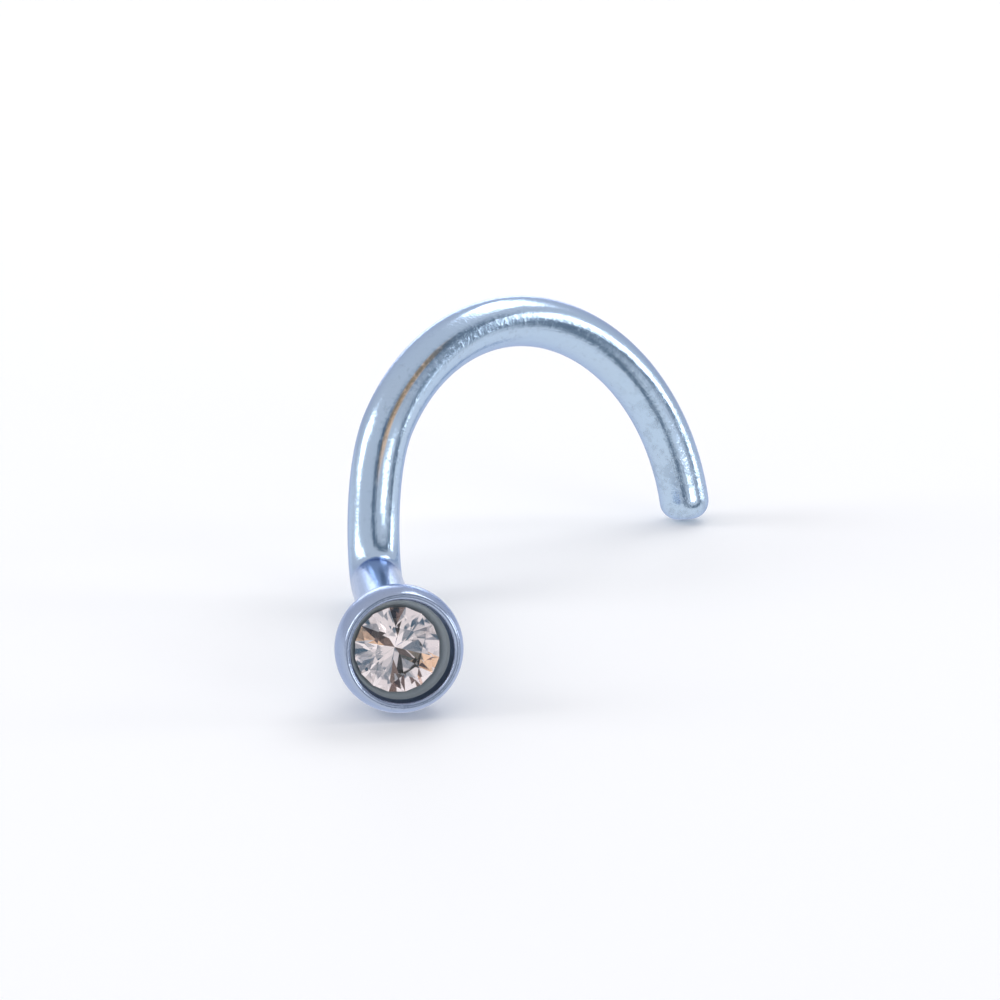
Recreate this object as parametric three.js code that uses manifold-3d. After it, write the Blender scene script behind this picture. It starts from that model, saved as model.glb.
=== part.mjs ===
// A nose screw stud in two pieces: the metal and the stone.
//
// The metal is a ball-shaped cup, a straight post, a tight elbow and an open hoop, all of one
// round wire and one solid. The stone is a round brilliant that sits in the cup's recess.
// Millimetres, +Z up. The cup faces -Y. The stud stands as it rests by itself, on three points:
// the ball, the elbow and the hoop's tip. The origin is the middle of the ground under it.

import * as THREE from 'three';
import { ConvexGeometry } from 'three/addons/geometries/ConvexGeometry.js';
import { mergeVertices } from 'three/addons/utils/BufferGeometryUtils.js';
import Module from 'manifold-3d';

const degrees = THREE.MathUtils.degToRad;

// Wire: the post, the elbow and the hoop
const WIRE_DIAMETER = 1.0;
const POST_LENGTH = 6.5;              // from the ball's centre to the elbow's corner
const CORNER_HEIGHT = 0.442;          // of the corner, where the axes of post and hoop meet
const HOOP_RADIUS = 4.16;             // of the wire's centre line
const HOOP_TURN = degrees(37.1);      // the hoop's plane, turned from square to the post
const HOOP_LEAN = degrees(15.2);      // the hoop's plane, leaning back from upright
const HOOP_START = degrees(182.1);    // the corner's angle on the hoop
const ELBOW_ON_POST = 0.59;           // where the bend starts, from the corner
const ELBOW_ON_HOOP = degrees(43);    // where the bend has become the hoop
const ELBOW_TENSION = 0.35;           // length of the bend's handles, as a share of its chord
const TIP_ROUNDING = 0.38;            // of the wire's end
const TIP_STEP = 0.02;                // where the rounding begins, in from the wire's surface

// Cup: distances along its axis are from the ball's centre, and grow towards the mouth
const BALL_RADIUS = 1.138;
const CUP_TURN = degrees(4);          // the cup's axis, from the post's, towards +X
const CUP_RAISE = degrees(4);         // and upwards
const SHOULDER_RADIUS = 0.72;         // of the flat at the back, round the post and square to it
const LIP_ROUNDING = 0.065;
const LIP_ANGLE = degrees(24);        // where the ball runs into the lip, seen from its centre
const RECESS_RADIUS = 0.87;           // at the foot of the recess's wall
const RECESS_FOOT = 0.16;
const SEAT_RADIUS = 0.85;             // at the top of the cone under the stone
const SEAT_TOP = 0.09;
const SEAT_TIP_RADIUS = 0.1;
const SEAT_BOTTOM = -0.58;
const POST_INSIDE = 0.64;             // where the post starts, behind the ball's centre

// Stone: a round brilliant
const STONE_RADIUS = 0.76;
const STONE_SHIFT = -0.05;            // along X: it is set a little off the cup's axis
const GIRDLE_TOP = 0.15;              // along the cup's axis
const GIRDLE_HEIGHT = 0.05;
const CROWN_HEIGHT = 0.22;
const TABLE_RADIUS = 0.43;
const STAR_RADIUS = 0.6;              // of the corners where star, kite and upper facets meet
const STAR_HEIGHT = 0.14;
const PAVILION_DEPTH = 0.65;
const LOWER_RADIUS = 0.2;             // of the corners where the pavilion's facets meet
const LOWER_DEPTH = 0.49;             // and how far under the girdle they are
const FOLDS = 8;

// Fineness
const WIRE_SIDES = 20;                // an even number
const WIRE_STEPS = 88;
const CUP_SIDES = 40;
const CUP_PHASE = 0.05;               // keeps the cup's edges off the post's
const BALL_STEPS = 16;
const LIP_STEPS = 6;
const TIP_STEPS = 4;
const SHORTEST_EDGE = 0.003;          // shorter ones, left by the booleans, are taken up

const COLOURS = { anodised: 0x8fb2d6, crystal: 0xf3ecee };

const wasm = await Module();
wasm.setup();

// The directions and fixed points of the stud

const wireRadius = WIRE_DIAMETER / 2;
const corner = new THREE.Vector3(0, 0, CORNER_HEIGHT);
const postRise = BALL_RADIUS - CORNER_HEIGHT;
const postIncline = Math.asin(postRise / POST_LENGTH);
const postDirection = new THREE.Vector3(0, -Math.cos(postIncline), Math.sin(postIncline));
const ballCentre = corner.clone().addScaledVector(postDirection, POST_LENGTH);

const hoopAcross = new THREE.Vector3(Math.cos(HOOP_TURN), Math.sin(HOOP_TURN), 0);
const hoopBack = new THREE.Vector3(-Math.sin(HOOP_TURN), Math.cos(HOOP_TURN), 0);
const hoopUp = new THREE.Vector3(0, 0, Math.cos(HOOP_LEAN)).addScaledVector(hoopBack, Math.sin(HOOP_LEAN));
const hoopCentre = corner.clone()
  .addScaledVector(hoopAcross, -HOOP_RADIUS * Math.cos(HOOP_START))
  .addScaledVector(hoopUp, -HOOP_RADIUS * Math.sin(HOOP_START));

function hoopPoint(angle) {
  return hoopCentre.clone()
    .addScaledVector(hoopAcross, HOOP_RADIUS * Math.cos(angle))
    .addScaledVector(hoopUp, HOOP_RADIUS * Math.sin(angle));
}

// The direction in which the wire runs, from the elbow over the top and down to the tip.
function hoopDirection(angle) {
  return new THREE.Vector3()
    .addScaledVector(hoopAcross, Math.sin(angle))
    .addScaledVector(hoopUp, -Math.cos(angle));
}

// The hoop's angle at which its centre line comes down to a height.
function hoopAngleAt(height) {
  return Math.asin((height - hoopCentre.z) / (HOOP_RADIUS * hoopUp.z));
}

// The tip slants, so its rounded edge touches the ground before its centre does.
function tipCentreHeight() {
  const drop = -hoopDirection(hoopAngleAt(0)).z;
  const slant = Math.sqrt(1 - drop * drop);
  return TIP_ROUNDING * (1 - drop) + (wireRadius - TIP_ROUNDING) * slant;
}

class HoopCurve extends THREE.Curve {
  constructor(start, end) {
    super();
    this.start = start;
    this.end = end;
  }

  getPoint(t, target = new THREE.Vector3()) {
    return target.copy(hoopPoint(THREE.MathUtils.lerp(this.start, this.end, t)));
  }
}

// Booleans

function toSolid(geometry) {
  const bare = geometry.clone();
  bare.deleteAttribute('normal');
  bare.deleteAttribute('uv');
  const merged = mergeVertices(bare, 1e-4);
  const mesh = new wasm.Mesh({
    numProp: 3,
    vertProperties: new Float32Array(merged.attributes.position.array),
    triVerts: new Uint32Array(merged.index.array),
  });
  return new wasm.Manifold(mesh);
}

function toGeometry(solid) {
  const mesh = solid.getMesh();
  const geometry = new THREE.BufferGeometry();
  geometry.setAttribute('position', new THREE.BufferAttribute(mesh.vertProperties, 3));
  geometry.setIndex(new THREE.BufferAttribute(mesh.triVerts, 1));
  geometry.computeVertexNormals();
  return geometry;
}

// Turns a geometry's Y axis to a direction and moves its origin to a point.
function place(geometry, direction, point) {
  const turn = new THREE.Quaternion().setFromUnitVectors(new THREE.Vector3(0, 1, 0), direction);
  return geometry.applyQuaternion(turn).translate(point.x, point.y, point.z);
}

// Wire

function wirePath(tipAngle) {
  const bendStart = corner.clone().addScaledVector(postDirection, ELBOW_ON_POST);
  const bendAngle = HOOP_START - ELBOW_ON_HOOP;
  const bendEnd = hoopPoint(bendAngle);
  const handle = ELBOW_TENSION * bendStart.distanceTo(bendEnd);
  const path = new THREE.CurvePath();
  path.add(new THREE.LineCurve3(ballCentre.clone().addScaledVector(postDirection, -POST_INSIDE), bendStart));
  path.add(new THREE.CubicBezierCurve3(
    bendStart,
    bendStart.clone().addScaledVector(postDirection, -handle),
    bendEnd.clone().addScaledVector(hoopDirection(bendAngle), -handle),
    bendEnd,
  ));
  path.add(new HoopCurve(bendAngle, tipAngle));
  return path;
}

// The rounded end: a short plug, a little thinner than the wire, that stands out of its cut end.
function tipGeometry(tipAngle) {
  const radius = wireRadius - TIP_STEP;
  const rounding = TIP_ROUNDING - TIP_STEP;
  const profile = [
    new THREE.Vector2(0, -2 * TIP_ROUNDING),
    new THREE.Vector2(radius, -2 * TIP_ROUNDING),
    ...arcPoints(radius - rounding, -rounding, rounding, 0, Math.PI / 2, TIP_STEPS),
    new THREE.Vector2(0, 0),
  ];
  return place(new THREE.LatheGeometry(profile, WIRE_SIDES), hoopDirection(tipAngle), hoopPoint(tipAngle));
}

function wireSolid() {
  const tipAngle = hoopAngleAt(tipCentreHeight());
  const section = new THREE.Shape();
  section.absarc(0, 0, wireRadius, 0, 2 * Math.PI);
  const wire = new THREE.ExtrudeGeometry(section, {
    steps: WIRE_STEPS,
    curveSegments: WIRE_SIDES / 2,      // an arc takes two sides for each segment
    bevelEnabled: false,
    extrudePath: wirePath(tipAngle + TIP_ROUNDING / HOOP_RADIUS),
  });
  return toSolid(wire).add(toSolid(tipGeometry(tipAngle)));
}

// Cup

const cupPitch = postIncline + CUP_RAISE;
const cupDirection = new THREE.Vector3(
  Math.sin(CUP_TURN) * Math.cos(cupPitch),
  -Math.cos(CUP_TURN) * Math.cos(cupPitch),
  Math.sin(cupPitch),
);

// Points on an arc about a centre, from one angle to another, both ends included.
function arcPoints(centreX, centreY, radius, from, to, steps) {
  return Array.from({ length: steps + 1 }, (_, i) => {
    const angle = THREE.MathUtils.lerp(from, to, i / steps);
    return new THREE.Vector2(centreX + radius * Math.cos(angle), centreY + radius * Math.sin(angle));
  });
}

// Half the cup's section: x is the distance from its axis, and y runs along it.
function cupGeometry() {
  const lipReach = BALL_RADIUS - LIP_ROUNDING;
  const lipX = lipReach * Math.cos(LIP_ANGLE);
  const lipY = lipReach * Math.sin(LIP_ANGLE);
  const profile = [
    new THREE.Vector2(0, -BALL_RADIUS),
    ...arcPoints(0, 0, BALL_RADIUS, -Math.PI / 2, LIP_ANGLE, BALL_STEPS).slice(1),
    ...arcPoints(lipX, lipY, LIP_ROUNDING, LIP_ANGLE, Math.PI, LIP_STEPS).slice(1),
    new THREE.Vector2(RECESS_RADIUS, RECESS_FOOT),
    new THREE.Vector2(SEAT_RADIUS, SEAT_TOP),
    new THREE.Vector2(SEAT_TIP_RADIUS, SEAT_BOTTOM),
    new THREE.Vector2(0, SEAT_BOTTOM),
  ];
  return place(new THREE.LatheGeometry(profile, CUP_SIDES, CUP_PHASE, 2 * Math.PI), cupDirection, ballCentre);
}

// The cup with its back cut flat, square to the post.
function cupSolid() {
  const shoulderBack = Math.sqrt(BALL_RADIUS * BALL_RADIUS - SHOULDER_RADIUS * SHOULDER_RADIUS);
  return toSolid(cupGeometry())
    .trimByPlane(postDirection.toArray(), ballCentre.dot(postDirection) - shoulderBack);
}

// Stone

// A ring of points about the Y axis, turned by a share of the step between them.
function pointRing(count, radius, height, shift = 0) {
  return Array.from({ length: count }, (_, i) => {
    const angle = (2 * Math.PI * (i + shift)) / count;
    return new THREE.Vector3(radius * Math.cos(angle), height, radius * Math.sin(angle));
  });
}

function stoneGeometry() {
  const girdleBottom = GIRDLE_TOP - GIRDLE_HEIGHT;
  const points = [
    ...pointRing(FOLDS, TABLE_RADIUS, GIRDLE_TOP + CROWN_HEIGHT),
    ...pointRing(FOLDS, STAR_RADIUS, GIRDLE_TOP + STAR_HEIGHT, 0.5),
    ...pointRing(2 * FOLDS, STONE_RADIUS, GIRDLE_TOP),
    ...pointRing(2 * FOLDS, STONE_RADIUS, girdleBottom),
    ...pointRing(FOLDS, LOWER_RADIUS, girdleBottom - LOWER_DEPTH, 0.5),
    new THREE.Vector3(0, girdleBottom - PAVILION_DEPTH, 0),
  ];
  const stone = new ConvexGeometry(points);
  place(stone, cupDirection, ballCentre);
  return stone.translate(STONE_SHIFT, 0, 0);
}

// Assembly

const anodised = new THREE.MeshStandardMaterial({ color: COLOURS.anodised, metalness: 1, roughness: 0.22 });
const crystal = new THREE.MeshStandardMaterial({ color: COLOURS.crystal, metalness: 0, roughness: 0.03 });

const metal = cupSolid().add(wireSolid());
const noseScrew = new THREE.Mesh(toGeometry(metal.simplify(SHORTEST_EDGE)), anodised);
noseScrew.name = 'nose_screw';

const stone = new THREE.Mesh(stoneGeometry(), crystal);
stone.name = 'stone';

const group = new THREE.Group();
group.add(noseScrew, stone);

const bounds = new THREE.Box3().setFromObject(group, true);
const middle = bounds.getCenter(new THREE.Vector3());
group.position.set(-middle.x, -middle.y, -bounds.min.z);

export default group;
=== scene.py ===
"""A nose screw stud: a ball-shaped cup with a round brilliant in it, on a wire that is bent into
a post, an elbow and an open hoop. Metres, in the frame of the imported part."""

import math

import bpy
import numpy as np
from bpy.props import FloatProperty, FloatVectorProperty, IntProperty, PointerProperty
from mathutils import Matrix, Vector


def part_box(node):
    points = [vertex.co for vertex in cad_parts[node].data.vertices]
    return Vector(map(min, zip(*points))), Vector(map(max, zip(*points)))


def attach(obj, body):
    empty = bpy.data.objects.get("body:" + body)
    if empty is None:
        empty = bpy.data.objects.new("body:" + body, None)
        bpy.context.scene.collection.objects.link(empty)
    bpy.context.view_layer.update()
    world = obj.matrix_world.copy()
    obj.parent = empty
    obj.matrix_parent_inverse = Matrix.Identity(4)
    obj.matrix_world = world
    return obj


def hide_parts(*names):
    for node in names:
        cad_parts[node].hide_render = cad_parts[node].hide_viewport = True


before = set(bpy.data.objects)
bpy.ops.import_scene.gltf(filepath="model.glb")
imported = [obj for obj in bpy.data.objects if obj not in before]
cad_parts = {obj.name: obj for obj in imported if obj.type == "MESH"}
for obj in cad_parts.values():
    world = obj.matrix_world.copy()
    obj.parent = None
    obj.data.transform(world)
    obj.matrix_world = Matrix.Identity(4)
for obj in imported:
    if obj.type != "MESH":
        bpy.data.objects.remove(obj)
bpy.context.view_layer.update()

bl_info = {
    "name": "Nose Screw Stud",
    "version": (1, 0, 0),
    "blender": (4, 5, 0),
    "location": "View3D > Sidebar > Nose Screw",
    "description": "Makes a wire nose screw with a bezel cup and a round brilliant",
    "category": "Add Mesh",
}

MM = 0.001
BODY = "root"
METAL_NODE = "nose_screw"
STONE_NODE = "stone"
LINE_MAP = "along_wire"
FACET_REFLECTION_PICK = "facet_reflection_pick"
CUP_SIDES = 160
BALL_ROWS = 90
LIP_ROWS = 20


def length(name, description, default_mm, low_mm=0.0):
    """A size in metres, from its default in millimetres."""
    return FloatProperty(
        name=name, description=description, default=default_mm * MM, min=low_mm * MM,
        unit="LENGTH", precision=5,
    )


def turn(name, description, default_degrees):
    """An angle, from its default in degrees."""
    return FloatProperty(
        name=name, description=description, default=math.radians(default_degrees), subtype="ANGLE",
    )


def share(name, description, default):
    """A number from 0 to 1."""
    return FloatProperty(
        name=name, description=description, default=default, min=0.0, max=1.0, subtype="FACTOR",
    )


def colour(name, description, default):
    """A linear colour."""
    return FloatVectorProperty(
        name=name, description=description, default=default, min=0.0, max=1.0, size=3, subtype="COLOR",
    )


class WireSizes(bpy.types.PropertyGroup):
    """Sizes of the post, the elbow and the hoop."""

    diameter: length("Wire Diameter", "Thickness of the round wire", 1.0)
    post_length: length("Post Length", "From the ball's centre to the elbow's corner", 6.5)
    corner_height: length("Corner Height", "Height at which the axes of post and hoop meet", 0.442)
    hoop_radius: length("Hoop Radius", "Radius of the hoop's centre line", 4.16)
    hoop_turn: turn("Hoop Turn", "Turn of the hoop's plane from square to the post", 37.1)
    hoop_lean: turn("Hoop Lean", "Lean of the hoop's plane from upright", 15.2)
    hoop_start: turn("Hoop Start", "Angle of the corner on the hoop", 182.1)
    bend_on_post: length("Bend on Post", "Where the bend starts, from the corner", 0.59)
    bend_on_hoop: turn("Bend on Hoop", "Where the bend has become the hoop", 43.0)
    bend_tension: share("Bend Tension", "Length of the bend's handles, as a share of its chord", 0.35)
    tip_rounding: length("Tip Rounding", "Radius of the tip's edge", 0.38)
    weld_fillet: length("Weld Fillet", "Radius of the fillet where the post leaves the cup", 0.12)


class CupSizes(bpy.types.PropertyGroup):
    """Sizes of the ball-shaped cup, along its axis from the ball's centre."""

    ball_radius: length("Ball Radius", "Radius of the cup's outside", 1.138)
    cup_turn: turn("Cup Turn", "Turn of the cup's axis from the post's", 4.0)
    cup_raise: turn("Cup Raise", "Rise of the cup's axis from the post's", 4.0)
    shoulder_radius: length("Shoulder Radius", "Radius of the flat at the back", 0.72)
    lip_rounding: length("Lip Rounding", "Radius of the lip's edge", 0.065)
    lip_angle: turn("Lip Angle", "Where the ball runs into the lip", 24.0)
    recess_radius: length("Recess Radius", "Radius at the foot of the recess's wall", 0.87)
    recess_foot: length("Recess Foot", "Where the wall turns in to the seat", 0.16)
    seat_radius: length("Seat Radius", "Radius at the top of the cone under the stone", 0.85)
    seat_top: length("Seat Top", "Where the cone under the stone starts", 0.09)
    seat_tip_radius: length("Seat Tip Radius", "Radius at the bottom of the cone", 0.10)
    seat_bottom: length("Seat Bottom", "Bottom of the cone, behind the ball's centre", 0.58)


class StoneSizes(bpy.types.PropertyGroup):
    """Sizes of the round brilliant."""

    radius: length("Stone Radius", "Radius of the girdle", 0.76)
    shift: length("Stone Shift", "How far it is set off the cup's axis, towards -X", 0.05)
    girdle_top: length("Girdle Top", "Place of the girdle's upper edge on the cup's axis", 0.15)
    girdle_height: length("Girdle Height", "Height of the girdle", 0.05)
    crown_height: length("Crown Height", "Height of the table over the girdle", 0.22)
    table_radius: length("Table Radius", "Radius of the table's corners", 0.43)
    star_radius: length("Star Radius", "Radius of the corners between star and kite facets", 0.60)
    pavilion_depth: length("Pavilion Depth", "Depth of the point under the girdle", 0.65)
    lower_radius: length("Lower Radius", "Radius of the corners between the pavilion's facets", 0.2)
    folds: IntProperty(name="Folds", description="Number of main facets round the stone", default=8, min=4)
    turn: turn("Stone Turn", "Turn of the facets about the cup's axis", 9.0)


class FinishColours(bpy.types.PropertyGroup):
    """Colours of the metal and the stone."""

    oxide: colour("Oxide Blue", "Anodised colour seen square on", (0.47, 0.60, 0.76))
    oxide_cup: colour("Cup Blue", "Anodised colour of the cup, which is duller", (0.38, 0.45, 0.60))
    oxide_edge: colour("Oxide Violet", "Anodised colour seen at a slant", (0.34, 0.41, 0.60))
    # Painted reflection: this orange line along the wire stands in for the reflection of a light, not for
    # thin oxide.
    painted_warm_reflection: colour("Oxide Straw", "Warm tinge where the oxide is thin", (0.95, 0.66, 0.40))
    recess: colour("Recess Grey", "Dull colour inside the cup", (0.62, 0.68, 0.66))
    crystal: colour("Crystal", "Body colour of the stone", (1.0, 1.0, 1.0))
    foil: colour("Foil", "Bright colour behind the stone", (1.0, 0.95, 0.945))
    # Painted reflections: the dark brown of some facets stands in for facets that mirror dark surroundings,
    # and the orange of a few stands in for the stone's fire.
    painted_dark_facets: colour("Foil Dark", "Dark colour of the facets that return little light", (0.20, 0.145, 0.13))
    painted_fire_glint: colour("Fire", "Warm flash of a few facets", (1.0, 0.62, 0.34))
    floor: colour("Floor", "Pale ground under the stud", (0.97, 0.97, 0.975))


class StageSizes(bpy.types.PropertyGroup):
    """Places of the camera and the lights."""

    view_rise: turn("View Rise", "Height of the camera's angle over the ground", 15.83)
    view_turn: turn("View Turn", "Turn of the camera round the stud", -5.35)
    distance: length("Distance", "From the camera to the stud", 80.0)
    lens: FloatProperty(name="Lens", description="Focal length in millimetres", default=150.4)
    aim_across: length("Aim Across", "Aim of the camera, right of the elbow's corner", 2.38)
    aim_up: length("Aim Up", "Aim of the camera, over the ground under the corner", 1.949)


# Vectors and points of the stud


def unit(vector):
    """The vector at length 1."""
    return vector / np.linalg.norm(vector)


def slanted(turned, raised):
    """A unit vector that faces -Y, turned towards +X and raised."""
    return np.array([
        math.sin(turned) * math.cos(raised),
        -math.cos(turned) * math.cos(raised),
        math.sin(raised),
    ])


class Layout:
    """The fixed points and directions of the stud, worked out from its sizes."""

    def __init__(self, scene):
        wire, cup = scene.screw_wire, scene.screw_cup
        self.wire, self.cup = wire, cup
        self.wire_radius = wire.diameter / 2
        incline = math.asin((cup.ball_radius - wire.corner_height) / wire.post_length)
        self.post = slanted(0.0, incline)
        corner = np.array([0.0, 0.0, wire.corner_height])
        self.across = np.array([math.cos(wire.hoop_turn), math.sin(wire.hoop_turn), 0.0])
        back = np.array([-math.sin(wire.hoop_turn), math.cos(wire.hoop_turn), 0.0])
        self.up = math.cos(wire.hoop_lean) * np.array([0.0, 0.0, 1.0]) + math.sin(wire.hoop_lean) * back
        self.plane = np.cross(self.across, self.up)
        self.cup_axis = slanted(cup.cup_turn, incline + cup.cup_raise)
        self.place(corner)
        self.tip_angle = self.angle_at(self.tip_height())
        self.place(corner + self.to_frame())

    def place(self, corner):
        """Sets the points that hang on the elbow's corner."""
        wire = self.wire
        self.corner = corner
        self.ground = corner[2] - wire.corner_height
        self.ball = corner + self.post * wire.post_length
        self.hoop = (
            corner
            - wire.hoop_radius * math.cos(wire.hoop_start) * self.across
            - wire.hoop_radius * math.sin(wire.hoop_start) * self.up
        )

    def hoop_point(self, angle):
        """The point of the hoop's circle at an angle, or an array of them."""
        angle = np.atleast_1d(angle)[:, None]
        return self.hoop + self.wire.hoop_radius * (np.cos(angle) * self.across + np.sin(angle) * self.up)

    def hoop_direction(self, angle):
        """The way the wire runs at an angle of the hoop, from the elbow to the tip."""
        angle = np.atleast_1d(angle)[:, None]
        return np.sin(angle) * self.across - np.cos(angle) * self.up

    def angle_at(self, height):
        """The hoop's angle at which the centre line comes down to a height."""
        return math.asin((height - self.hoop[2]) / (self.wire.hoop_radius * self.up[2]))

    def tip_height(self):
        """Height of the end's centre when the tip's rounded edge stands on the ground."""
        drop = -self.hoop_direction(self.angle_at(0.0))[0, 2]
        slant = math.sqrt(1 - drop * drop)
        rounding = self.wire.tip_rounding
        return rounding * (1 - drop) + (self.wire_radius - rounding) * slant

    def to_frame(self):
        """The move that puts the middle of the metal's box over the middle of the CAD's."""
        low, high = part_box(METAL_NODE)
        stations, radii = wire_stations(self)
        points = np.vstack([tube(self, stations, radii, 64)[0], ball_extremes(self)])
        middle = (points.min(axis=0) + points.max(axis=0)) / 2
        cad_middle = (np.array(low) + np.array(high)) / 2
        move = cad_middle - middle
        move[2] = low[2]
        return move


def ball_extremes(layout):
    """The six outermost points of the ball along X, Y and Z, without the one that the mouth cuts."""
    steps = np.vstack([np.eye(3), -np.eye(3)]) * layout.cup.ball_radius
    keep = steps @ layout.cup_axis < layout.cup.ball_radius * math.sin(layout.cup.lip_angle)
    rim_angles = np.linspace(0, 2 * math.pi, 72, endpoint=False)
    side, rise = cross_frame(layout.cup_axis)
    reach = layout.cup.ball_radius - layout.cup.lip_rounding
    rim = (
        layout.cup_axis * (reach * math.sin(layout.cup.lip_angle) + layout.cup.lip_rounding)
        + reach * math.cos(layout.cup.lip_angle)
        * (np.cos(rim_angles)[:, None] * side + np.sin(rim_angles)[:, None] * rise)
    )
    return layout.ball + np.vstack([steps[keep], rim])


def cross_frame(axis):
    """Two unit vectors square to an axis and to each other: one level, one rising."""
    side = unit(np.cross((0.0, 0.0, 1.0), axis))
    return side, np.cross(axis, side)


# Surfaces


def make_mesh(name, points, faces, material, smooth=True):
    """A mesh object at the origin from arrays of points and faces."""
    mesh = bpy.data.meshes.new(name)
    mesh.from_pydata(points.tolist(), [], faces)
    mesh.materials.append(material)
    mesh.polygons.foreach_set("use_smooth", [smooth] * len(mesh.polygons))
    mesh.update()
    mesh.validate()
    piece = bpy.data.objects.new(name, mesh)
    bpy.context.scene.collection.objects.link(piece)
    return piece


def grid_faces(rows, columns):
    """Quads of a grid that closes on itself along its columns: corner i, j; i, j+1; i+1, j+1; i+1, j."""
    row, column = np.meshgrid(np.arange(rows - 1), np.arange(columns), indexing="ij")
    following = (column + 1) % columns
    quads = np.stack([
        row * columns + column,
        row * columns + following,
        (row + 1) * columns + following,
        (row + 1) * columns + column,
    ], axis=-1)
    return quads.reshape(-1, 4)


def capped_grid(rings, first_pole, last_pole):
    """Points and faces of a closed skin: rings of points between two poles, each pole a fan."""
    rows, columns, _ = rings.shape
    points = np.vstack([rings.reshape(-1, 3), [first_pole, last_pole]])
    start, end = rows * columns, rows * columns + 1
    column = np.arange(columns)
    following = (column + 1) % columns
    last = (rows - 1) * columns
    fans = [
        np.stack([np.full(columns, start), following, column], axis=-1),
        np.stack([np.full(columns, end), last + column, last + following], axis=-1),
    ]
    faces = grid_faces(rows, columns).tolist() + fans[0].tolist() + fans[1].tolist()
    return points, faces


def wire_stations(layout):
    """Points along the wire's centre line with the radius of the wire at each.

    The line is straight along the post, a cubic Bezier round the elbow and an arc of the hoop's
    circle. The radius swells at the weld by a fillet f as f - sqrt(f^2 - (f - d)^2), where d is the
    distance from the cup's shoulder, and shrinks at the tip by the same quarter round.
    """
    wire, cup = layout.wire, layout.cup
    shoulder = math.sqrt(cup.ball_radius ** 2 - cup.shoulder_radius ** 2)
    start = layout.ball - layout.post * (shoulder - wire.weld_fillet)
    bend_start = layout.corner + layout.post * wire.bend_on_post
    bend_angle = wire.hoop_start - wire.bend_on_hoop
    bend_end = layout.hoop_point(bend_angle)[0]
    handle = wire.bend_tension * np.linalg.norm(bend_end - bend_start)
    first_handle = bend_start - layout.post * handle
    last_handle = bend_end - layout.hoop_direction(bend_angle)[0] * handle

    post = start + np.linspace(0, 1, 90)[:-1, None] ** 1.6 * (bend_start - start)
    t = np.linspace(0, 1, 73)[:-1, None]
    bend = (
        (1 - t) ** 3 * bend_start + 3 * (1 - t) ** 2 * t * first_handle
        + 3 * (1 - t) * t ** 2 * last_handle + t ** 3 * bend_end
    )
    tip_share = 1 - (1 - np.linspace(0, 1, 190)) ** 1.5
    hoop = layout.hoop_point(bend_angle + (layout.tip_angle - bend_angle) * tip_share)
    stations = np.vstack([post, bend, hoop])

    steps = np.linalg.norm(np.diff(stations, axis=0), axis=1)
    along = np.concatenate([[0.0], np.cumsum(steps)])
    fillet, rounding = wire.weld_fillet, wire.tip_rounding
    from_weld = np.clip(along - fillet, 0, fillet)
    swell = fillet - np.sqrt(fillet ** 2 - (fillet - from_weld) ** 2)
    to_tip = np.clip(along[-1] - along, 0, rounding)
    shrink = rounding - np.sqrt(rounding ** 2 - (rounding - to_tip) ** 2)
    return stations, layout.wire_radius + swell - shrink


def tube(layout, stations, radii, sides):
    """Rings of a round tube: centre + radius (cos a n + sin a b), where b is the hoop plane's
    normal made square to the line's direction, and n is square to both. Returns points and rings."""
    tangents = np.gradient(stations, axis=0)
    tangents /= np.linalg.norm(tangents, axis=1)[:, None]
    level = layout.plane - (tangents @ layout.plane)[:, None] * tangents
    level /= np.linalg.norm(level, axis=1)[:, None]
    out = np.cross(level, tangents)
    angle = np.linspace(0, 2 * math.pi, sides, endpoint=False)
    rings = stations[:, None] + radii[:, None, None] * (
        np.cos(angle)[None, :, None] * out[:, None] + np.sin(angle)[None, :, None] * level[:, None]
    )
    return rings.reshape(-1, 3), rings


def map_along(piece, rows, columns, along, girth):
    """A UV map in metres: U runs round the wire, V along it."""
    mesh = piece.data
    corners = np.empty(len(mesh.loops), dtype=np.int32)
    mesh.loops.foreach_get("vertex_index", corners)
    faces = np.empty(len(mesh.polygons), dtype=np.int32)
    mesh.polygons.foreach_get("loop_total", faces)
    owner = np.repeat(np.arange(len(faces)), faces)
    pole = corners >= rows * columns
    row = np.minimum(corners, rows * columns - 1) // columns
    column = (corners % columns).astype(float)
    wraps = np.zeros(len(faces), dtype=bool)
    np.logical_or.at(wraps, owner, (column == columns - 1) & ~pole)
    column[wraps[owner] & (column == 0) & ~pole] = columns
    u = np.where(pole, 0.5, column / columns) * girth
    v = along[row]
    mesh.uv_layers.new(name=LINE_MAP)
    mesh.uv_layers[LINE_MAP].data.foreach_set("uv", np.stack([u, v], axis=-1).ravel())


def revolve(layout, profile, sides):
    """Rings of a profile turned about the cup's axis: ball + y axis + x (cos a side + sin a rise)."""
    side, rise = cross_frame(layout.cup_axis)
    angle = np.linspace(0, 2 * math.pi, sides, endpoint=False)
    circle = np.cos(angle)[:, None] * side + np.sin(angle)[:, None] * rise
    return (
        layout.ball
        + profile[:, 1, None, None] * layout.cup_axis
        + profile[:, 0, None, None] * circle[None]
    )


def flat_back(layout, rings):
    """The rings with all that is behind the shoulder's plane pressed flat onto it along the post:
    p - min(0, (p - ball) . post + s) post, where s is the plane's distance behind the ball's centre."""
    cup = layout.cup
    behind = math.sqrt(cup.ball_radius ** 2 - cup.shoulder_radius ** 2)
    depth = np.minimum(0.0, (rings - layout.ball) @ layout.post + behind)
    return rings - depth[..., None] * layout.post


def arc(centre, radius, start, end, count):
    """Points of an arc: centre + radius (cos a, sin a), from one angle to another."""
    angle = np.linspace(start, end, count)
    return np.array(centre) + radius * np.stack([np.cos(angle), np.sin(angle)], axis=-1)


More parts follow.
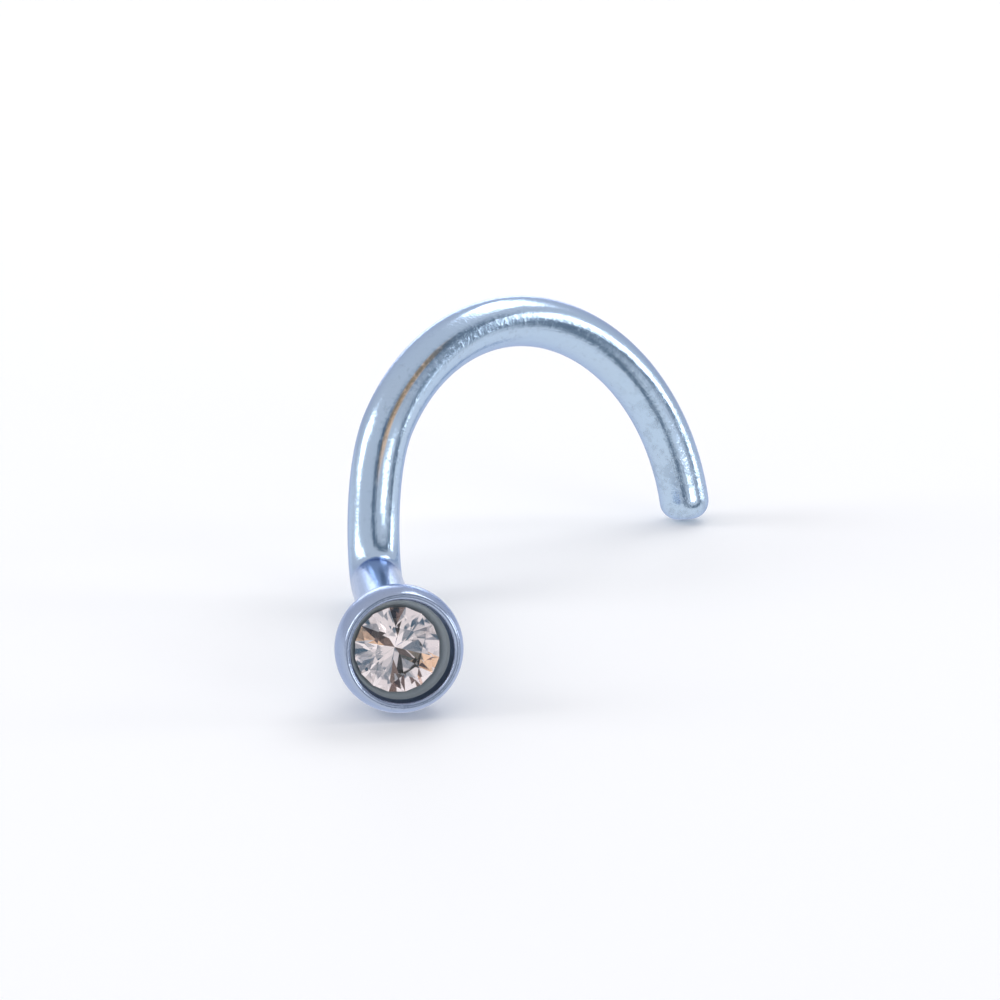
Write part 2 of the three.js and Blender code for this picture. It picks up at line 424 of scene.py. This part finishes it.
def rounded(points, radius, count=6):
    """A line of points with its inner corners rounded by quadratic curves that start a radius away."""
    points = np.asarray(points, dtype=float)
    t = np.linspace(0, 1, count)[:, None]
    pieces = [points[:1]]
    for before, corner, after in zip(points[:-2], points[1:-1], points[2:]):
        start = corner + unit(before - corner) * min(radius, np.linalg.norm(before - corner) / 2)
        end = corner + unit(after - corner) * min(radius, np.linalg.norm(after - corner) / 2)
        pieces.append((1 - t) ** 2 * start + 2 * (1 - t) * t * corner + t ** 2 * end)
    pieces.append(points[-1:])
    return np.vstack(pieces)


def cup_profile(cup):
    """Half the cup's section, from the back to the bottom of the recess: the ball's arc, the lip's
    round, the recess's wall and the cone under the stone."""
    reach = cup.ball_radius - cup.lip_rounding
    lip = (reach * math.cos(cup.lip_angle), reach * math.sin(cup.lip_angle))
    inner = (lip[0] - cup.lip_rounding, lip[1])
    outside = np.vstack([
        arc((0, 0), cup.ball_radius, 0.01 - math.pi / 2, cup.lip_angle, BALL_ROWS),
        arc(lip, cup.lip_rounding, cup.lip_angle, math.pi, LIP_ROWS + 1)[1:],
    ])
    inside = rounded([
        inner,
        (cup.recess_radius, cup.recess_foot),
        (cup.seat_radius, cup.seat_top),
        (cup.seat_tip_radius, -cup.seat_bottom),
        (0.01 * MM, -cup.seat_bottom),
    ], 0.05 * MM, 8)
    return np.vstack([outside, inside[1:]])


# Shader maths


class Socket:
    """A node's output that takes part in sums, so that shader maths reads as an expression."""

    def __init__(self, shader, output):
        self.shader, self.output = shader, output

    def math(self, operation, *values):
        node = self.shader.node("ShaderNodeMath", {"operation": operation}, dict(enumerate(values)))
        return Socket(self.shader, node.outputs[0])

    def __add__(self, other):
        return self.math("ADD", self, other)

    def __sub__(self, other):
        return self.math("SUBTRACT", self, other)

    def __rsub__(self, other):
        return self.math("SUBTRACT", other, self)

    def __mul__(self, other):
        return self.math("MULTIPLY", self, other)

    def __truediv__(self, other):
        return self.math("DIVIDE", self, other)

    def __pow__(self, other):
        return self.math("POWER", self, other)

    def clamp(self):
        """The value held between 0 and 1."""
        return self.math("MINIMUM", self.math("MAXIMUM", self, 0.0), 1.0)

    def between(self, low, high):
        """0 below low, 1 above high and a smooth step between them."""
        node = self.shader.node(
            "ShaderNodeMapRange", {"interpolation_type": "SMOOTHSTEP"},
            {"Value": self, "From Min": low, "From Max": high},
        )
        return Socket(self.shader, node.outputs["Result"])

    __radd__ = __add__
    __rmul__ = __mul__


class Shader:
    """A material's node tree, with a method that adds any node."""

    def __init__(self, name):
        self.material = bpy.data.materials.new(name)
        self.material.use_nodes = True
        self.tree = self.material.node_tree
        self.surface = self.tree.nodes["Principled BSDF"]

    def node(self, kind, settings=(), inputs=()):
        """Adds a node: its settings first, then the values or links of its sockets."""
        node = self.tree.nodes.new(kind)
        for name, value in dict(settings).items():
            if name == "stops":
                for place, (position, tone) in enumerate(value):
                    elements = node.color_ramp.elements
                    stop = elements[place] if place < len(elements) else elements.new(position)
                    stop.position, stop.color = position, (*tone, 1.0)
            else:
                setattr(node, name, value)
        for key, value in dict(inputs).items():
            self.feed(node.inputs[key], value)
        return node

    def feed(self, socket, value):
        """Links a socket or sets its constant."""
        if isinstance(value, Socket):
            self.tree.links.new(value.output, socket)
        else:
            socket.default_value = value

    def value(self, node, output=0):
        return Socket(self, node.outputs[output])

    def mix(self, amount, first, second):
        """The first colour where amount is 0, the second where it is 1."""
        node = self.node("ShaderNodeMix", {"data_type": "RGBA"}, {0: amount})
        for socket, tone in ((node.inputs[6], first), (node.inputs[7], second)):
            self.feed(socket, tone if isinstance(tone, Socket) else (*tone, 1.0))
        return Socket(self, node.outputs[2])

    def noise(self, vector, scale, detail=2.0, roughness=0.5):
        node = self.node(
            "ShaderNodeTexNoise", {},
            {"Vector": vector, "Scale": scale, "Detail": detail, "Roughness": roughness},
        )
        return self.value(node, "Fac")

    def place(self, scale=(1, 1, 1), rotation=(0, 0, 0), uv=None):
        """Object coordinates, or a UV map's, stretched and turned."""
        if uv:
            source = self.value(self.node("ShaderNodeUVMap", {"uv_map": uv}))
        else:
            source = self.value(self.node("ShaderNodeTexCoord"), "Object")
        node = self.node("ShaderNodeMapping", {}, {"Vector": source, "Scale": scale, "Rotation": rotation})
        return self.value(node)

    def slant(self, blend=0.35):
        """0 where the surface is seen square on, 1 at its outline."""
        return self.value(self.node("ShaderNodeLayerWeight", {}, {"Blend": blend}), "Facing")

    def bump(self, height, strength, distance):
        node = self.node("ShaderNodeBump", {}, {"Height": height, "Strength": strength, "Distance": distance})
        self.feed(self.surface.inputs["Normal"], self.value(node))

    def set(self, **values):
        """Sets the surface's own sockets, named with underscores for spaces."""
        for name, value in values.items():
            self.feed(self.surface.inputs[name.replace("_", " ")], value)


def anodised(name, tones, base, uv=None, tip_from=None, painted_reflection_band=None, dull=0.0):
    """Pale blue anodised titanium: the oxide's colour shifts to violet at a slant, drifts a little
    in patches, and carries draw lines, pits and scuffs in its roughness and bump. Given a place, it also
    carries a painted reflection, a thin orange line along one side of the wire, and scuffs near the tip."""
    shader = Shader(name)
    field = shader.place()
    patches = shader.noise(field, 900.0, 3.0, 0.55).between(0.35, 0.68)
    specks = shader.noise(field, 9000.0, 3.0, 0.65)
    if uv:
        lines = shader.noise(shader.place((14000.0, 700.0, 1.0), uv=uv), 1.0, 3.0, 0.6)
    else:
        lines = shader.noise(shader.place((5200.0, 1300.0, 5200.0)), 1.0, 3.0, 0.6)
    slant = shader.slant()
    blue = shader.mix(patches * 0.55, base, [tone * 0.86 + 0.07 for tone in base])
    blue = shader.mix((slant ** 1.6 * 0.8).clamp(), blue, tones.oxide_edge)
    wear = specks.between(0.55, 0.75) * 0.35
    # Painted reflection: a thin orange line laid along one side of the wire in its UV map. The scuffs near
    # the tip that follow are real wear.
    if painted_reflection_band:
        low, high, centre, drift, width = painted_reflection_band
        split = shader.node("ShaderNodeSeparateXYZ", {}, {"Vector": shader.place(uv=uv)})
        round_wire, along = shader.value(split, "X"), shader.value(split, "Y")
        offset = round_wire.math("ABSOLUTE", round_wire + along * drift - centre)
        painted_reflection_mask = (1 - offset.between(width * 0.2, width)) * along.between(low, low * 1.15)
        painted_reflection_mask = painted_reflection_mask * (1 - along.between(high * 0.9, high)) * (0.5 + lines)
        blue = shader.mix((painted_reflection_mask * 0.8).clamp(), blue, tones.painted_warm_reflection)
        scuffed = along.between(tip_from, tip_from + 3 * MM)
        wear = wear + scuffed * shader.noise(field, 4200.0, 4.0, 0.7).between(0.48, 0.62) * 0.5
    dark = [tone * 0.55 for tone in base]
    blue = shader.mix((wear * 0.6).clamp(), blue, dark)
    if dull:
        blue = shader.mix(dull, blue, tones.recess)
    shader.set(
        Base_Color=blue, Metallic=1.0 - dull * 1.2,
        Roughness=(lines * 0.14 + wear * 0.25 + 0.12 + dull * 0.3).clamp(),
    )
    shader.surface.inputs["Specular Tint"].default_value = (0.66, 0.72, 0.86, 1.0)
    shader.bump(lines * 0.6 + specks * 0.6 + wear * 0.5, 0.6, 0.011 * MM)
    return shader.material


def crystal(name, tones):
    """Clear crystal, with faint haze in it."""
    shader = Shader(name)
    haze = shader.noise(shader.place(), 2500.0, 2.0)
    tone = shader.mix(haze.between(0.45, 0.7) * 0.3, tones.crystal, [part * 0.97 for part in tones.crystal])
    shader.set(
        Base_Color=tone, Metallic=0.0, Roughness=haze * 0.01, IOR=1.6, Transmission_Weight=1.0,
    )
    return shader.material


def foil(name, tones):
    """The reflecting back of the stone, with painted reflections: facets picked at random are painted dark
    brown as painted dark reflections, a few are painted an orange glint of fire, and the rest keep the bright
    foil.
    """
    shader = Shader(name)
    facet = shader.value(shader.node("ShaderNodeAttribute", {"attribute_name": FACET_REFLECTION_PICK}), "Fac")
    grain = shader.noise(shader.place(), 6000.0, 2.0)
    # Painted glints of fire on a few facets, then painted dark reflections on others.
    pale = shader.mix(facet.between(0.10, 0.04), tones.foil, tones.painted_fire_glint)
    tone = shader.mix(
        (facet + (grain - 0.5) * 0.12).between(0.84, 0.95), pale, tones.painted_dark_facets,
    )
    shader.set(Base_Color=tone, Metallic=1.0, Roughness=0.04 + grain * 0.04)
    return shader.material


def ground(name, tones):
    """Smooth white card, with a barely visible tooth."""
    shader = Shader(name)
    tooth = shader.noise(shader.place(), 1800.0, 3.0)
    tone = shader.mix(tooth * 0.2, tones.floor, [part * 0.985 for part in tones.floor])
    shader.set(Base_Color=tone, Roughness=0.75 + tooth * 0.1)
    shader.surface.inputs["Specular IOR Level"].default_value = 0.2
    return shader.material


# Operators


class SCREW_OT_wire(bpy.types.Operator):
    """Makes the post, the elbow and the hoop as one wire with a rounded tip"""

    bl_idname = "nose_screw.wire"
    bl_label = "Wire"

    def execute(self, context):
        layout = Layout(context.scene)
        stations, radii = wire_stations(layout)
        sides = 72
        rounding = layout.wire.tip_rounding
        flat = layout.wire_radius - rounding
        _, rings = tube(layout, stations, radii, sides)
        inner = rings[-1:] * 0.5 + stations[-1] * 0.5
        rings = np.vstack([rings, inner])
        points, faces = capped_grid(rings, stations[0], stations[-1])
        steps = np.linalg.norm(np.diff(stations, axis=0), axis=1)
        along = np.concatenate([[0.0], np.cumsum(steps), [steps.sum() + flat / 2]])
        # Start, end, place round the wire, drift and width of the painted orange reflection.
        painted_reflection_band = (7.2 * MM, 10.9 * MM, 0.248 * MM, -0.031, 0.07 * MM)
        tones = context.scene.screw_finish
        material = anodised("anodised_wire_painted_reflection", tones, tones.oxide, LINE_MAP, along[-1] - 4.5 * MM, painted_reflection_band)
        piece = make_mesh("wire", points, faces, material)
        map_along(piece, len(rings), sides, along, 2 * math.pi * layout.wire_radius)
        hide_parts(METAL_NODE)
        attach(piece, BODY)
        return {"FINISHED"}


class SCREW_OT_cup(bpy.types.Operator):
    """Makes the ball-shaped cup with its lip, recess and seat"""

    bl_idname = "nose_screw.cup"
    bl_label = "Cup"

    def execute(self, context):
        layout = Layout(context.scene)
        profile = cup_profile(layout.cup)
        rings = flat_back(layout, revolve(layout, profile, CUP_SIDES))
        first = rings[0].mean(axis=0)
        last = layout.ball + layout.cup_axis * profile[-1, 1]
        points, faces = capped_grid(rings, first, last)
        tones = context.scene.screw_finish
        piece = make_mesh("cup", points, faces, anodised("anodised_cup", tones, tones.oxide_cup))
        piece.data.materials.append(anodised("recess", tones, tones.oxide_cup, dull=0.7))
        rows = np.arange(len(piece.data.polygons)) // CUP_SIDES
        inside = (rows >= BALL_ROWS + LIP_ROWS) & (rows < len(profile) - 1)
        piece.data.polygons.foreach_set("material_index", inside.astype(np.int32))
        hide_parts(METAL_NODE)
        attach(piece, BODY)
        return {"FINISHED"}


class SCREW_OT_stone(bpy.types.Operator):
    """Makes the round brilliant with its table, star, kite, girdle and pavilion facets"""

    bl_idname = "nose_screw.stone"
    bl_label = "Stone"

    def execute(self, context):
        layout = Layout(context.scene)
        sizes, tones = context.scene.screw_stone, context.scene.screw_finish
        points, faces, back = brilliant(layout, sizes)
        piece = make_mesh("brilliant", points, faces, crystal("crystal", tones), smooth=False)
        piece.data.materials.append(foil("foil_back_painted_reflections", tones))
        piece.data.polygons.foreach_set("material_index", np.asarray(back, dtype=np.int32))
        # A random number per facet. It picks the facets that the foil paints with dark reflections and
        # glints.
        tone = piece.data.attributes.new(FACET_REFLECTION_PICK, "FLOAT", "FACE")
        tone.data.foreach_set("value", np.random.default_rng(7).random(len(faces)))
        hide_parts(STONE_NODE)
        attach(piece, BODY)
        return {"FINISHED"}


def brilliant(layout, sizes):
    """Points and facets of a round brilliant, and which facets are foiled at the back.

    Corners lie on rings about the axis. A kite is flat, so its side corners stand at
    h = H (R - r cos(half step)) / (R - T), for girdle radius R, table radius T and crown height H,
    and the pavilion's stand at the same rule with its point in place of the table.
    """
    n = sizes.folds
    half = math.pi / n
    low_edge = sizes.girdle_top - sizes.girdle_height
    star_rise = sizes.crown_height * (
        (sizes.radius - sizes.star_radius * math.cos(half)) / (sizes.radius - sizes.table_radius)
    )
    lower_drop = sizes.pavilion_depth * (1 - sizes.lower_radius * math.cos(half) / sizes.radius)

    def ring(count, radius, height, shift=0.0):
        angle = 2 * math.pi * (np.arange(count) + shift) / count + sizes.turn
        return np.stack([radius * np.cos(angle), radius * np.sin(angle), np.full(count, height)], axis=-1)

    local = np.vstack([
        ring(n, sizes.table_radius, sizes.girdle_top + sizes.crown_height),
        ring(n, sizes.star_radius, sizes.girdle_top + star_rise, 0.5),
        ring(2 * n, sizes.radius, sizes.girdle_top),
        ring(2 * n, sizes.radius, low_edge),
        ring(n, sizes.lower_radius, low_edge - lower_drop, 0.5),
        [[0.0, 0.0, low_edge - sizes.pavilion_depth]],
    ])
    side, rise = cross_frame(layout.cup_axis)
    points = (
        layout.ball - np.array([sizes.shift, 0.0, 0.0])
        + local[:, :1] * side + local[:, 1:2] * rise + local[:, 2:] * layout.cup_axis
    )

    i = np.arange(n)
    following, before = (i + 1) % n, (i - 1) % n
    table, star, upper, lower, deep, point = 0, n, 2 * n, 4 * n, 6 * n, 7 * n
    step, next_step = 2 * i + 1, (2 * i + 2) % (2 * n)
    j = np.arange(2 * n)
    crown = [
        [list(range(table, table + n))],
        np.stack([table + i, star + i, table + following], axis=-1).tolist(),
        np.stack([table + i, star + before, upper + 2 * i, star + i], axis=-1).tolist(),
        np.stack([star + i, upper + 2 * i, upper + step], axis=-1).tolist(),
        np.stack([star + i, upper + step, upper + next_step], axis=-1).tolist(),
    ]
    girdle = np.stack([upper + j, lower + j, lower + (j + 1) % (2 * n), upper + (j + 1) % (2 * n)], axis=-1)
    pavilion = [
        np.stack([deep + i, lower + step, lower + 2 * i], axis=-1).tolist(),
        np.stack([deep + i, lower + next_step, lower + step], axis=-1).tolist(),
        np.stack([np.full(n, point), deep + i, lower + 2 * i, deep + before], axis=-1).tolist(),
    ]
    front = [face for group in crown for face in group]
    rear = girdle.tolist() + [face for group in pavilion for face in group]
    return points, front + rear, [0] * len(front) + [1] * len(rear)


class SCREW_OT_stage(bpy.types.Operator):
    """Makes the pale floor, the soft lights, the tent round the stud and the camera"""

    bl_idname = "nose_screw.stage"
    bl_label = "Stage"

    def execute(self, context):
        scene = context.scene
        layout = Layout(scene)
        add_floor(scene, layout)
        aim, forward, right, above = view_axes(scene.screw_stage, layout)
        camera = add_camera(scene, aim - forward * scene.screw_stage.distance, forward)
        scene.camera = camera
        add_lights(scene, aim)
        add_sky(scene, layout)
        return {"FINISHED"}


def view_axes(stage, layout):
    """The camera's aim and its forward, right and upward directions."""
    forward = np.array([
        -math.sin(stage.view_turn) * math.cos(stage.view_rise),
        math.cos(stage.view_turn) * math.cos(stage.view_rise),
        -math.sin(stage.view_rise),
    ])
    right = np.array([math.cos(stage.view_turn), math.sin(stage.view_turn), 0.0])
    above = np.cross(right, forward)
    under_corner = np.array([layout.corner[0], layout.corner[1], layout.ground])
    return under_corner + right * stage.aim_across + above * stage.aim_up, forward, right, above


def add_camera(scene, place, forward):
    """A camera at a place that looks along a direction."""
    data = bpy.data.cameras.new("camera")
    data.lens, data.sensor_width = scene.screw_stage.lens, 36.0
    data.clip_start, data.clip_end = 1 * MM, 10.0
    camera = bpy.data.objects.new("camera", data)
    camera.location = place
    camera.rotation_euler = Vector(forward).to_track_quat("-Z", "Y").to_euler()
    scene.collection.objects.link(camera)
    return camera


def add_floor(scene, layout):
    """A wide pale square on the ground."""
    reach = 1.5
    corners = np.array([(-reach, -reach), (reach, -reach), (reach, reach), (-reach, reach)])
    points = np.column_stack([corners, np.full(4, layout.ground)])
    floor = make_mesh("floor", points, [[0, 1, 2, 3]], ground("floor_card", scene.screw_finish))
    floor.visible_glossy = False


def add_lights(scene, aim):
    """Soft boxes to the left, the right, the front and over the back."""
    boxes = (
        ("left_box", (-0.88, 0.05, 0.47), 130, 190, 2.8),
        ("right_box", (0.97, 0.02, 0.24), 76, 130, 3.8),
        ("front_box", (0.62, -0.74, 0.22), 110, 60, 3.4),
        ("back_box", (0.40, 0.53, 0.75), 190, 110, 2.8),
    )
    for name, direction, wide, tall, brightness in boxes:
        direction = unit(np.array(direction))
        data = bpy.data.lights.new(name, "AREA")
        data.shape, data.size, data.size_y = "RECTANGLE", wide * MM, tall * MM
        data.energy = brightness * math.pi * data.size * data.size_y
        light = bpy.data.objects.new(name, data)
        light.location = aim + direction * 300 * MM
        light.rotation_euler = Vector(-direction).to_track_quat("-Z", "Y").to_euler()
        light.visible_camera = False
        scene.collection.objects.link(light)


def add_sky(scene, layout):
    """A pale tent all round, brighter from below, with a dark ring for the rim of its opening.

    The ring lies at an angle r from the tent's axis: it is dark where
    |dot(direction, axis) - cos r| is small."""
    world = bpy.data.worlds.new("tent")
    world.use_nodes = True
    shader = Shader.__new__(Shader)
    shader.tree = world.node_tree
    direction = shader.value(shader.node("ShaderNodeTexCoord"), "Generated")
    split = shader.value(shader.node("ShaderNodeSeparateXYZ", {}, {"Vector": direction}), "Z")
    axis = shader.node(
        "ShaderNodeVectorMath", {"operation": "DOT_PRODUCT"}, {0: direction, 1: tuple(layout.plane)},
    )
    rim = Socket(shader, axis.outputs["Value"]) - math.cos(math.radians(41))
    ring = 1 - rim.math("ABSOLUTE", rim).between(0.0, 0.17)
    tent = shader.mix(split.between(-0.10, 0.06), (1.04, 1.04, 1.05), (0.78, 0.78, 0.81))
    back = Socket(shader, shader.node(
        "ShaderNodeVectorMath", {"operation": "DOT_PRODUCT"}, {0: direction, 1: (0.0, 1.0, 0.0)},
    ).outputs["Value"])
    glow = back.between(0.93, 0.98) * split.between(0.0, 0.04)
    tent = shader.mix(glow, tent, (3.0, 3.0, 3.1))
    tone = shader.mix(ring, tent, (0.05, 0.11, 0.17))
    backdrop = world.node_tree.nodes["Background"]
    shader.feed(backdrop.inputs["Color"], tone)
    backdrop.inputs["Strength"].default_value = 1.0
    scene.world = world
    scene.view_settings.view_transform = "Standard"


class SCREW_PT_panel(bpy.types.Panel):
    """Lists the stud's pieces and sizes"""

    bl_idname = "SCREW_PT_panel"
    bl_label = "Nose Screw"
    bl_space_type = "VIEW_3D"
    bl_region_type = "UI"
    bl_category = "Nose Screw"

    def draw(self, context):
        for operator, group in STEPS:
            self.layout.operator(operator.bl_idname)
            for name in getattr(context.scene, group).bl_rna.properties.keys():
                if name not in ("rna_type", "name"):
                    self.layout.prop(getattr(context.scene, group), name)


STEPS = (
    (SCREW_OT_wire, "screw_wire"),
    (SCREW_OT_cup, "screw_cup"),
    (SCREW_OT_stone, "screw_stone"),
    (SCREW_OT_stage, "screw_stage"),
)
GROUPS = {
    "screw_wire": WireSizes,
    "screw_cup": CupSizes,
    "screw_stone": StoneSizes,
    "screw_finish": FinishColours,
    "screw_stage": StageSizes,
}


def register():
    for group in GROUPS.values():
        bpy.utils.register_class(group)
    for operator, _ in STEPS:
        bpy.utils.register_class(operator)
    bpy.utils.register_class(SCREW_PT_panel)
    for name, group in GROUPS.items():
        setattr(bpy.types.Scene, name, PointerProperty(type=group))


def unregister():
    for name in GROUPS:
        delattr(bpy.types.Scene, name)
    bpy.utils.unregister_class(SCREW_PT_panel)
    for operator, _ in STEPS:
        bpy.utils.unregister_class(operator)
    for group in GROUPS.values():
        bpy.utils.unregister_class(group)


def main():
    register()
    bpy.ops.nose_screw.wire()
    bpy.ops.nose_screw.cup()
    bpy.ops.nose_screw.stone()
    bpy.ops.nose_screw.stage()


if __name__ == "__main__":
    main()
